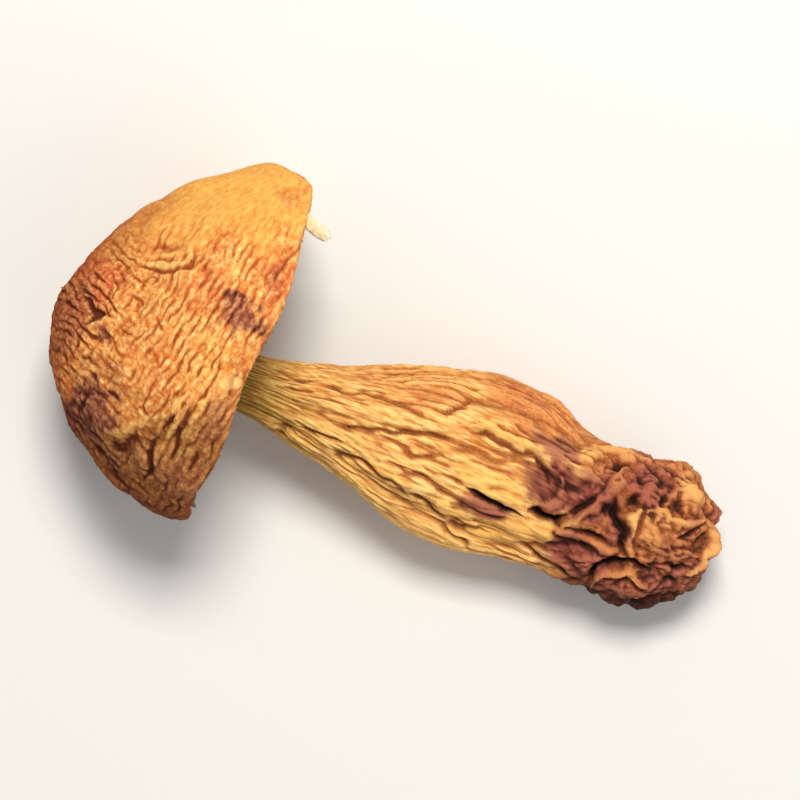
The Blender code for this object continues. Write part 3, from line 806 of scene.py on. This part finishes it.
def veil_shreds(material):
    """What is left of the veil: a thin torn skirt that hangs from the margin all round.

    The skirt is carried along the margin. Its section is a thin loop, as wide as noise
    round the margin makes it, so that its edge is ragged, and it curls towards the stem.
    """
    angle = np.arange(VEIL_STEPS) * 2 * math.pi / VEIL_STEPS
    circle = np.stack([np.cos(angle), np.sin(angle), np.zeros(VEIL_STEPS)], axis=1)
    slow = np.clip(0.5 + 1.6 * lattice_noise(circle * 2.3, 91), 0.1, 1)
    torn = 0.55 + 0.9 * lattice_noise(circle * 14, 92) + 0.5 * lattice_noise(circle * 40, 93)
    width = (0.3 + 3.2 * slow * np.clip(torn, 0.02, 1.2)) * MM
    up, side = thin_loop(VEIL_LEVELS)
    full = (len(up), VEIL_STEPS)
    angle, slow, reach, up, side = filled(
        full, angle, slow, width * up[:, None], up[:, None], side[:, None])
    start = cap_point(np.full(angle.size, BED_STARTS[1]), angle)
    inward = cap_point(np.full(angle.size, 1.9), angle) - start
    inward[:, 0] = 0
    inward = unit(inward)
    stemward = np.array([math.cos(CAP_TILT), 0.0, -math.sin(CAP_TILT)])
    crumple = lattice_noise(start / (2.2 * MM) + reach[:, None] / MM, 94)
    direction = unit(inward + stemward * (0.04 + 0.12 * slow + 0.5 * crumple)[:, None])
    across = unit(np.cross(direction, np.cross(inward, stemward)))
    thick = side * (0.13 - 0.07 * up) * MM
    points = start + direction * (reach - 0.3 * MM)[:, None] + across * thick[:, None]
    index = np.arange(len(points)).reshape(full)
    below = np.roll(index, -1, axis=0)
    faces = faces_of(index, below, np.roll(below, -1, axis=1), np.roll(index, -1, axis=1))
    return mesh_piece("veil_shreds", at_rest(points), [faces], {"edge": up}, material)


def veil_scrap(material):
    """A scrap of the veil that stands out from the margin, rolled along its length.

    It is carried along a short bent line. Its section is an arch with an outer and an
    inner side, and it narrows towards its torn end.
    """
    share = np.linspace(0, 1, SCRAP_ROWS)[:, None]
    start = cap_point(np.array([1.06]), np.array([math.radians(SCRAP_ANGLE)]))[0]
    ahead = np.array([0.93, -0.36, -0.08])
    aside = unit(np.cross(np.array([0.0, 0.0, 1.0]), ahead))
    over = np.cross(ahead, aside)
    middle = start + ahead * (share * 3.1 - 0.5) * MM - over * 0.5 * MM * share**2
    wide = (0.62 + 0.10 * np.sin(math.pi * share)) * MM * (1 - 0.30 * share**8)
    opening = np.linspace(-1.35, 1.35, SCRAP_STEPS)
    bow = np.concatenate([opening, opening[::-1]])
    section = wide - np.repeat([0, SCRAP_WALL], SCRAP_STEPS)
    points = (
        middle[:, None, :]
        + aside * (section * np.sin(bow))[:, :, None]
        + over * (0.75 * section * np.cos(bow))[:, :, None]
    )
    rough = uneven(points.reshape(-1, 3), 0.6, 97).reshape(section.shape)
    torn = lattice_noise(np.stack([bow * 2.2, 0 * bow, 0 * bow], axis=1), 98)
    points += over * (0.30 * MM * rough)[:, :, None]
    points += ahead * (1.5 * MM * torn * share**3)[:, :, None]
    edge = np.broadcast_to(0.55 + 0.45 * share, section.shape)
    grid = at_rest(points.reshape(-1, 3)).reshape(1, *section.shape, 3)
    return strips("veil_scrap", grid, {"edge": edge}, material)


def stem_frame(along):
    """The section at each along: X, Y and Z of its middle, its half width and half
    thickness, its pitch, how much of its full size it has, and how far it is rounded off.
    """
    rounding = np.clip(along - 1, 0, 1) * math.pi / 2
    reach = STEM_END - STEM_ROUNDS_FROM
    x = STEM_START + (STEM_ROUNDS_FROM - STEM_START) * np.clip(along, 0, 1)
    x = x + reach * np.sin(rounding)
    y, z, width, thickness = through(STEM_STATIONS, x).T
    ahead = through(STEM_STATIONS, x + 0.1 * MM)[:, 1]
    behind = through(STEM_STATIONS, x - 0.1 * MM)[:, 1]
    pitch = np.arctan2(ahead - behind, 0.2 * MM)
    pitch = np.where(x < STEM_START + 0.2 * MM, -CAP_TILT, pitch)
    share = np.where(along < 0, 1 + along, np.cos(rounding) ** BASE_BLUNTNESS)
    return x, y, z, width, thickness, pitch, share, np.sin(rounding)


def wrapped(x, angle, length, crowd):
    """Places for noise that is drawn out along the stem and closes round it."""
    return np.column_stack([x / length, crowd * np.cos(angle), crowd * np.sin(angle)])


def stem_wrinkles(skin, x, angle, width, tip, shrivelled, far_end):
    """The relief of the stem's ridges and of the folds at its base, and its combed furrows.

    The ridges lie along the stem and get closer where it is thinner. They fade into the
    folds of the base, and at its very end, where all of them would meet.
    """
    girth = width / WIDEST
    turned = angle + 0.10 * lattice_noise(wrapped(x, angle, 7 * MM, 1.2), 201)
    turned += 0.05 * lattice_noise(wrapped(x, angle, 2.6 * MM, 3), 202)
    narrow = (0.3 + 0.7 * girth) * (1 - 0.5 * tip**2)
    broad, ridged, fine, notched = (
        wrinkles(wrapped(x, turned, length, crowd * narrow), seed, bend)
        for length, crowd, seed, bend in STEM_RIDGES
    )
    folded, crumpled, crinkled = (
        wrinkles(skin.smooth / size, seed, bend) for size, seed, bend in BASE_FOLDS
    )
    around = np.abs((turned + math.pi) % (2 * math.pi) - math.pi)
    combs = combed(skin.smooth / np.array([3.0, 1.0, 1.0]), around * 7.2 * MM, x / 3, 281)
    calm, plain = 1 - 0.5 * skin.stain["smooth"], 1 - skin.stain["plain"]
    open_end = 1 - 0.9 * smooth_step(tip, 0.35, 0.95)
    lengthwise = (1 - 0.8 * shrivelled) * (0.45 + 0.55 * girth) * open_end * calm * plain
    knobbly = 0.08 + 0.16 * smooth_step(skin.smooth[:, 1] - 0.05 * skin.smooth[:, 0], 0, 3 * MM)
    relief = layered(
        (0.45 * lengthwise, broad),
        (0.30 * lengthwise, ridged),
        (0.24 * lengthwise, combs - 0.1),
        (0.13 * (1 - 0.6 * shrivelled) * open_end, fine),
        (knobbly * open_end * calm * smooth_step(x, *NOTCHES_START), notched),
        (0.58 * shrivelled * plain, folded),
        ((0.20 + skin.stain["crumpled"] + 0.14 * far_end) * shrivelled * plain, crumpled),
        ((0.09 + 0.04 * far_end) * shrivelled, crinkled),
    )
    return relief, combs


def stem_tones(skin, x, shrivelled):
    """The stem's tones by name: bruises, cream and pink skin, the neck, sides and base, with
    painted shade on the low base, the shoulder, the neck and the lower side, and a painted lit
    edge.
    """
    x_up, y_up = skin.smooth[:, 0], skin.smooth[:, 1]
    slope = skin.outward[:, 2]
    # Bruises, partly painted shade: purple-brown blotches on the low parts of the base, where
    # shade falls.
    blotches = smooth_step(uneven(skin.smooth, 4.4, 62), 0.02, 0.3)
    bruise_and_shade = np.maximum(skin.stain["bruise_and_shade"], 0.85 * shrivelled * blotches * (1 - skin.upper))
    cream = np.maximum(skin.pale, skin.stain["cream"])
    # Neck tone: the neck's olive colour, with painted half-shadow of the cap darkening it.
    neck = (1 - smooth_step(x, *NECK_ENDS)) * (0.6 + 0.4 * smooth_step(-y_up, 0, 5 * MM))
    neck = neck * (0.25 + 0.75 * smooth_step(x, *UNDER_CAP))
    ragged = 5 * MM * uneven(skin.smooth, 3.5, 63)
    # Painted shade: the steep lower side of the base is darkened as if in shade.
    side = smooth_step(0.85 - slope, 0, 0.6) * smooth_step(x + ragged, *SHADE_STARTS)
    side = side * smooth_step(-y_up + 0.6 * ragged, 5 * MM, 11 * MM)
    # Painted light: the lower edge of the stem's body is painted brighter, as if lit from below.
    edge = smooth_step(0.95 - slope, 0, 0.6) * smooth_step(-y_up, 2 * MM, 5 * MM)
    edge = edge * smooth_step(x_up, *LIT_EDGE_STARTS) * (1 - smooth_step(x_up, *LIT_EDGE_ENDS))
    # Painted shade: the steep upper edge of the shoulder is darkened, laid in as pink tone.
    shoulder = smooth_step(0.75 - slope, 0, 0.4) * smooth_step(y_up, 0, 3 * MM)
    shoulder = shoulder * smooth_step(x_up, *SHOULDER_STARTS) * (1 - shrivelled)
    pink = np.maximum.reduce([skin.stain["smooth"], shoulder, skin.stain["pink"]])
    return {"bruise_and_shade": bruise_and_shade * (1 - 0.85 * cream), "cream": cream, "pink": pink,
            "neck": neck, "base": shrivelled, "side": side, "edge": edge}


def stem_skin(material):
    """The stem's skin: long ridges that close up at the neck, and a shrivelled base.

    The smooth stem is moved outwards along its normals by grooves, by knots and creases
    drawn from above, and at the base by wrinkled lumps.
    """
    body = np.linspace(0, 1, STEM_RINGS)
    end_rings = BASE_RINGS // 2
    rows = np.concatenate([[-1, -0.5], body[body < BASE_STARTS],
                           np.linspace(BASE_STARTS, 1, end_rings),
                           1 + np.linspace(0, 1, end_rings + 1)[1:]])
    along = np.repeat(rows, STEM_STEPS)
    angle = np.tile(np.arange(STEM_STEPS) * 2 * math.pi / STEM_STEPS, len(rows))
    x, y, z, width, thickness, pitch, share, tip = stem_frame(along)
    aside, up = width * share * np.cos(angle), thickness * share * np.sin(angle)
    smooth = np.stack([x - up * np.sin(pitch), y + aside, z + up * np.cos(pitch)], axis=1)
    skin = Skin(smooth, len(rows), STEM_UPPER_SIDE)
    shrivelled, far_end = smooth_step(x, *SHRIVELLED), smooth_step(x, *FAR_END)

    # Coarse relief, as in the solids.
    grooves = np.abs(lattice_noise(wrapped(x, angle, GROOVE_LENGTH, GROOVES_AROUND), 21))
    depth = GROOVE_DEPTH_NECK + GROOVE_DEPTH_BODY * smooth_step(x, *GROOVES_DEEPEN)
    lumps = np.abs(lattice_noise(smooth / LUMP_SIZE, 22)) - TYPICAL_NOISE
    relief = depth * (grooves - TYPICAL_NOISE) * (1 - 0.5 * shrivelled)
    relief += 0.7 * LUMP_HEIGHT * shrivelled * lumps
    skin.draw(relief, STEM_CREASES, STEM_BARS, STEM_STAINS)

    ridges, combs = stem_wrinkles(skin, x, angle, width, tip, shrivelled, far_end)
    relief += ridges - skin.cut
    relief += np.maximum(skin.raised, knots(skin.seen, STEM_KNOTS) * skin.upper)
    relief = relief * smooth_step(along, 0.02, 0.18)

    # How low each point lies, how high it stands and how dark it is. The hollows are partly the
    # grooves' browner skin and partly painted shade, dark is painted shade in the creases and in
    # the folds of the base, and the crest gives a painted highlight on raised parts.
    low, wide_low = sunken(relief, len(rows), 2, 5), sunken(relief, len(rows), 4, 14)
    lined = (1 - shrivelled) * np.clip((0.66 - combs) / 0.5, 0, 1)
    hollow = np.clip(low / (0.19 * MM) + wide_low / (0.65 * MM) + 0.6 * lined, 0, 1)
    crest = np.clip(-low / (0.13 * MM) - wide_low / (0.50 * MM), 0, 1)
    # Painted shade in the drawn creases and in the folds of the base.
    dark = np.maximum.reduce([
        np.clip((skin.cut - 0.22 * MM) / (0.85 * MM), 0, 1),
        0.90 * shrivelled * smooth_step(wide_low, 0.20 * MM, 0.6 * MM),
        0.75 * far_end * smooth_step(wide_low, 0.10 * MM, 0.36 * MM),
        0.45 * far_end * smooth_step(low, 0.05 * MM, 0.15 * MM),
    ])
    attributes = {"hollow": hollow * (1 - skin.stain["filled"]), "crest": crest, "dark": dark,
                  **stem_tones(skin, x, shrivelled)}
    return skin.closed("stem_skin", relief, attributes, material)


def colour(red, green, blue):
    """A colour as painters give it, from 0 to 255, made linear."""
    def linear(part):
        part = part / 255
        return part / 12.92 if part <= 0.04045 else ((part + 0.055) / 1.055) ** 2.4
    return (linear(red), linear(green), linear(blue), 1.0)


class Wire:
    """One output of a node. Wires and numbers combine with the usual signs."""

    def __init__(self, paint, socket):
        self.paint = paint
        self.socket = socket

    def combined(self, operation, first, second):
        sockets = {0: first, 1: second}
        return self.paint.node("ShaderNodeMath", {"operation": operation}, sockets)

    def __add__(self, other):
        return self.combined("ADD", self, other)

    def __radd__(self, other):
        return self.combined("ADD", other, self)

    def __sub__(self, other):
        return self.combined("SUBTRACT", self, other)

    def __rsub__(self, other):
        return self.combined("SUBTRACT", other, self)

    def __mul__(self, other):
        return self.combined("MULTIPLY", self, other)

    def __rmul__(self, other):
        return self.combined("MULTIPLY", other, self)

    def __pow__(self, other):
        return self.combined("POWER", self, other)

    def held(self):
        """The same value, kept between 0 and 1."""
        return self.paint.node("ShaderNodeClamp", {}, {0: self})


class Paint:
    """One material, wired by plain expressions."""

    def __init__(self, name, roughness=0.8, specular=0.3, sheen=0.0):
        self.material = bpy.data.materials.new(name)
        self.material.use_nodes = True
        self.tree = self.material.node_tree
        self.shader = self.tree.nodes["Principled BSDF"]
        self.shader.inputs["Roughness"].default_value = roughness
        self.shader.inputs["Specular IOR Level"].default_value = specular
        self.shader.inputs["Sheen Weight"].default_value = sheen
        self.place = self.node("ShaderNodeTexCoord", {}, {}, "Object")

    def node(self, kind, settings, sockets, output=0):
        """A new node: its settings first, then its sockets' values or links."""
        made = self.tree.nodes.new(kind)
        for key, value in settings.items():
            setattr(made, key, value)
        for key, value in sockets.items():
            if isinstance(value, Wire):
                self.tree.links.new(value.socket, made.inputs[key])
            else:
                made.inputs[key].default_value = value
        return Wire(self, made.outputs[output])

    def read(self, *names):
        """The mesh's numbers of these names, one wire for each."""
        kind = "ShaderNodeAttribute"
        return [self.node(kind, {"attribute_name": name}, {}, "Fac") for name in names]

    def noise(self, size, detail=3.0, rough=0.55, lean=(1, 1, 1), turn=0.0):
        """Noise from 0 to 1 with patches of this size, turned about Z and then stretched
        lean times along each axis.
        """
        sockets = {"Vector": self.place, "Rotation": (0, 0, turn), "Scale": lean}
        place = self.node("ShaderNodeMapping", {"vector_type": "TEXTURE"}, sockets)
        sockets = {"Vector": place, "Scale": 1 / size, "Detail": detail, "Roughness": rough}
        return self.node("ShaderNodeTexNoise", {}, sockets)

    def spread(self, value, low, high):
        """0 below low, 1 above high, and even between them."""
        sockets = {"Value": value, "From Min": low, "From Max": high}
        return self.node("ShaderNodeMapRange", {}, sockets)

    def mix(self, share, first, second, blend="MIX"):
        """Two colours mixed: all first at a share of 0 or less, all second from 1 on."""
        settings = {"data_type": "RGBA", "blend_type": blend}
        first, second = (
            part if isinstance(part, Wire) else colour(*part) for part in (first, second)
        )
        return self.node("ShaderNodeMix", settings, {0: share, 6: first, 7: second}, 2)

    def two_tone(self, value, low, high, first, second):
        """The first colour where the value is below low, the second where it is above high."""
        return self.mix(self.spread(value, low, high), first, second)

    def coats(self, under, *layers):
        """Coats laid over each other: the share of each, its colour and how it blends."""
        for share, shade, *blend in layers:
            under = self.mix(share, under, shade, *blend)
        return under

    def finish(self, base, height, depth):
        """Wires the base colour and the bump, and gives the material."""
        self.tree.links.new(base.socket, self.shader.inputs["Base Color"])
        sockets = {"Height": height, "Distance": depth, "Strength": 1.0}
        bump = self.node("ShaderNodeBump", {}, sockets)
        self.tree.links.new(bump.socket, self.shader.inputs["Normal"])
        return self.material


def cap_paint():
    """Tan to orange skin, darker in its wrinkles partly as painted shade, painted highlights on
    ridges, purple-brown bruises and felt.
    """
    paint = Paint("cap_skin", roughness=0.85, specular=0.12)
    hollow, crest, bruise_and_shade, felt, olive_and_shade, red, gold = paint.read(
        "hollow", "crest", "bruise_and_shade", "felt", "olive_and_shade", "red", "gold")
    rim, bed, dark, pale, slant, side = paint.read("rim", "bed", "dark", "pale", "slant", "side")
    broad = paint.noise(4 * MM, 4)
    steep = paint.noise(0.42 * MM, 3, 0.6, lean=(1, 2.4, 1.8), turn=-0.25)
    flat = paint.noise(0.42 * MM, 3, 0.6, lean=(2.4, 1, 1.8), turn=-0.40)
    dash = steep * slant + flat * (1 - slant)
    speck = paint.noise(0.4 * MM, 3, 0.6)
    grain = paint.noise(0.16 * MM, 2, 0.6)
    # Painted highlight: ridge tops and bright dashes are painted paler, as if lit.
    lit = (crest * 0.6 + paint.spread(dash, 0.50, 0.66) * 0.6).held()
    ridge = paint.coats(
        paint.two_tone(broad, 0.38, 0.62, (232, 149, 68), (220, 128, 58)),
        (gold * 0.7, (244, 168, 76)),
        (red * 0.8, (212, 92, 54)),
        (paint.spread(dash, 0.50, 0.36) * 0.75, (190, 88, 44)),
        # Painted highlight on the ridges.
        (lit * (1 - red * 0.3), (255, 210, 130)),
    )
    # Olive skin, painted lighter where lit as a painted highlight.
    olive_top = paint.mix(lit, (146, 90, 42), (204, 146, 76))
    purple = paint.coats(
        paint.two_tone(broad, 0.4, 0.65, (122, 58, 38), (142, 74, 56)),
        # Painted highlight on the bruises' raised parts, and partly painted shade in their
        # hollows.
        (lit * 0.7, (212, 136, 102)),
        (hollow * 1.1, (66, 24, 16)),
    )
    skin = paint.coats(
        ridge,
        # Hollows: partly the furrows' browner skin and partly painted shade in them.
        (hollow * 0.95, paint.two_tone(broad, 0.4, 0.6, (156, 70, 28), (128, 54, 22))),
        (paint.spread(speck, 0.56, 0.70) * 0.6, (206, 82, 44)),
        # Olive tone towards the bottom, partly painted shade, darker in the hollows.
        (olive_and_shade * 0.88, paint.mix(hollow, olive_top, (78, 34, 16))),
        (felt - hollow * 0.6, paint.two_tone(dash, 0.35, 0.62, (227, 153, 68), (241, 182, 88))),
        (bruise_and_shade * (1 - lit * 0.3), purple),
        # Painted shade in the deepest creases and the dusky furrows.
        (dark * 0.9, (70, 26, 14)),
        (pale * 0.85, (255, 206, 124)),
        (rim * 0.2, (238, 158, 88)),
        # Painted shade on the steep left and lower sides.
        (side, (200, 156, 132), "MULTIPLY"),
        (bed, (142, 92, 58)),
    )
    return paint.finish(skin, dash * 0.8 + speck * 0.4 + grain * 0.4, 0.11 * MM)


def stem_paint():
    """Cream-yellow ridges with painted highlights over brown grooves partly darkened as painted
    shade, purple-brown flesh at the base.
    """
    paint = Paint("stem_skin", roughness=0.72, specular=0.2)
    hollow, crest, dark, bruise_and_shade, cream = paint.read("hollow", "crest", "dark", "bruise_and_shade", "cream")
    pink, neck, base, side, edge = paint.read("pink", "neck", "base", "side", "edge")
    broad = paint.noise(5 * MM, 4)
    streak = paint.noise(0.8 * MM, 4, 0.6, lean=(4.5, 1, 1), turn=-0.12)
    thread = paint.noise(0.26 * MM, 2, 0.5, lean=(6, 1, 1), turn=-0.12)
    speck = paint.noise(0.4 * MM, 3, 0.6)
    grain = paint.noise(0.15 * MM, 2, 0.6)
    rough = paint.two_tone(speck, 0.38, 0.62, (124, 56, 35), (168, 86, 52))
    ridge = paint.coats(
        paint.two_tone(broad, 0.38, 0.62, (238, 173, 86), (228, 150, 75)),
        (neck * 0.9, (206, 164, 73)),
        (paint.spread(streak, 0.48, 0.30), (204, 116, 54)),
        # Painted highlight on the raised parts of the ridges.
        (crest * 0.75, (255, 208, 126)),
        (paint.spread(thread, 0.50, 0.34) * 0.6, (196, 112, 54)),
        (paint.spread(thread, 0.52, 0.68) * 0.6, (255, 222, 146)),
        # Pink skin, and painted shade along the shoulder's steep edge.
        (pink * 0.75, (206, 118, 62)),
        (pink * paint.spread(speck, 0.50, 0.64) * 0.6, (246, 178, 100)),
        (pink * paint.spread(streak, 0.50, 0.38) * 0.7, (168, 80, 42)),
        # Base flesh, with a painted highlight on its raised parts.
        (base * 0.9, paint.mix(crest * 0.6, rough, (218, 136, 80))),
        # Painted light along the lower edge of the stem's body.
        (edge * 0.45, (252, 198, 108)),
    )
    brown = paint.two_tone(speck, 0.35, 0.65, (128, 62, 26), (176, 98, 42))
    fresh = paint.mix(base, (248, 188, 96), (244, 182, 104))
    purple = paint.coats(
        paint.two_tone(broad, 0.4, 0.62, (112, 46, 36), (144, 70, 58)),
        # Painted highlight on raised parts of the purple flesh; its hollows are partly painted
        # shade.
        (crest * 0.6, (190, 110, 84)),
        (hollow, (54, 20, 14)),
    )
    skin = paint.coats(
        ridge,
        # Hollows, partly the grooves' browner skin and partly painted shade, lighter along the
        # painted lit edge and olive at the neck.
        (hollow * (0.85 - edge * 0.3), paint.mix(neck * 0.6, brown, (124, 80, 32))),
        (cream * 0.9 - hollow * 0.5,
         paint.mix(paint.spread(streak, 0.52, 0.36) * 0.7, fresh, (212, 136, 66))),
        (bruise_and_shade * 0.95, purple),
        # Painted half-shadow of the cap over the neck.
        (neck ** 2, (206, 202, 172), "MULTIPLY"),
        # Painted shade on the steep lower side of the base.
        (side, (112, 94, 92), "MULTIPLY"),
        # Painted shade in the creases and folds of the base.
        (dark * 0.95, (30, 13, 9)),
    )
    return paint.finish(skin, speck * 0.4 + grain * 0.3 + streak * 0.4 + thread * 0.7, 0.14 * MM)


def gill_paint():
    """Dull brown blades with paler edges."""
    paint = Paint("gills", roughness=0.85, specular=0.2)
    (edge,) = paint.read("edge")
    body = paint.two_tone(paint.noise(2.5 * MM, 4), 0.35, 0.65, (112, 70, 46), (146, 98, 66))
    body = paint.mix((edge ** 3) * 0.7, body, (190, 146, 102))
    return paint.finish(body, paint.noise(0.3 * MM, 3), 0.05 * MM)


def veil_paint():
    """Pale cream skin, browner towards the margin."""
    paint = Paint("veil", roughness=0.8, specular=0.25, sheen=0.1)
    (edge,) = paint.read("edge")
    body = paint.two_tone(paint.noise(1.6 * MM, 4), 0.35, 0.65, (250, 238, 204), (232, 208, 160))
    body = paint.mix((1 - edge) ** 2 * 0.7, body, (206, 146, 92))
    return paint.finish(body, paint.noise(0.35 * MM, 3), 0.08 * MM)


def lit_floor():
    """A plain pale floor, large enough to fill every view."""
    reach = FLOOR_REACH
    corners = [(-reach, -reach, 0), (reach, -reach, 0), (reach, reach, 0), (-reach, reach, 0)]
    mesh = bpy.data.meshes.new("floor")
    mesh.from_pydata(corners, [], [(0, 1, 2, 3)])
    paint = Paint("floor", roughness=0.9, specular=0.1)
    paint.shader.inputs["Base Color"].default_value = colour(228, 226, 221)
    mesh.materials.append(paint.material)
    floor = bpy.data.objects.new("floor", mesh)
    bpy.context.scene.collection.objects.link(floor)


def soft_light(name, place, size, power, tint):
    """A square lamp at place that faces the mushroom."""
    lamp = bpy.data.lights.new(name, "AREA")
    lamp.shape = "SQUARE"
    lamp.size = size
    lamp.energy = power
    lamp.color = tint
    holder = bpy.data.objects.new(name, lamp)
    bpy.context.scene.collection.objects.link(holder)
    holder.location = place
    x, y, z = (-part for part in place)
    holder.rotation_euler = (math.atan2(math.hypot(x, y), -z), 0, math.atan2(-x, y))


def studio():
    """Soft light from the upper left of the picture, a weak fill, and a pale surround."""
    across, along = math.cos(CAMERA_TURN), math.sin(CAMERA_TURN)
    for name, ((right, above, up), size, power, tint) in LAMPS.items():
        place = (right * across - above * along, right * along + above * across, up)
        soft_light(name, place, size, power, tint)
    world = bpy.data.worlds.new("surround")
    world.use_nodes = True
    world.node_tree.nodes["Background"].inputs["Color"].default_value = SURROUND
    world.node_tree.nodes["Background"].inputs["Strength"].default_value = SURROUND_STRENGTH
    bpy.context.scene.world = world


def overhead_camera():
    """A long lens straight above the mushroom, turned as the picture is."""
    lens = bpy.data.cameras.new("camera")
    lens.lens = LENS
    lens.sensor_width = SENSOR
    lens.clip_start = 0.01
    camera = bpy.data.objects.new("camera", lens)
    bpy.context.scene.collection.objects.link(camera)
    low, high = (np.array(corner) for corner in CAD_BOX)
    middle = (low + high) / 2
    camera.location = (middle[0], middle[1], CAMERA_HEIGHT)
    camera.rotation_euler = (0, 0, CAMERA_TURN)
    bpy.context.scene.camera = camera


def build():
    """Makes every piece, with its finish and the solid that it stands for, and the studio."""
    veil = veil_paint()
    pieces = (
        (cap_skin(cap_paint()), "cap", ["cap"]),
        (gill_blades(gill_paint()), "cap", []),
        (veil_shreds(veil), "cap", []),
        (veil_scrap(veil), "cap", []),
        (stem_skin(stem_paint()), "stem", ["stem"]),
    )
    for piece, slot, replaced in pieces:
        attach(piece, "root")
        for node in replaced:
            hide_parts(node)
    lit_floor()
    studio()
    overhead_camera()
    bpy.context.scene.view_settings.view_transform = "Standard"


build()
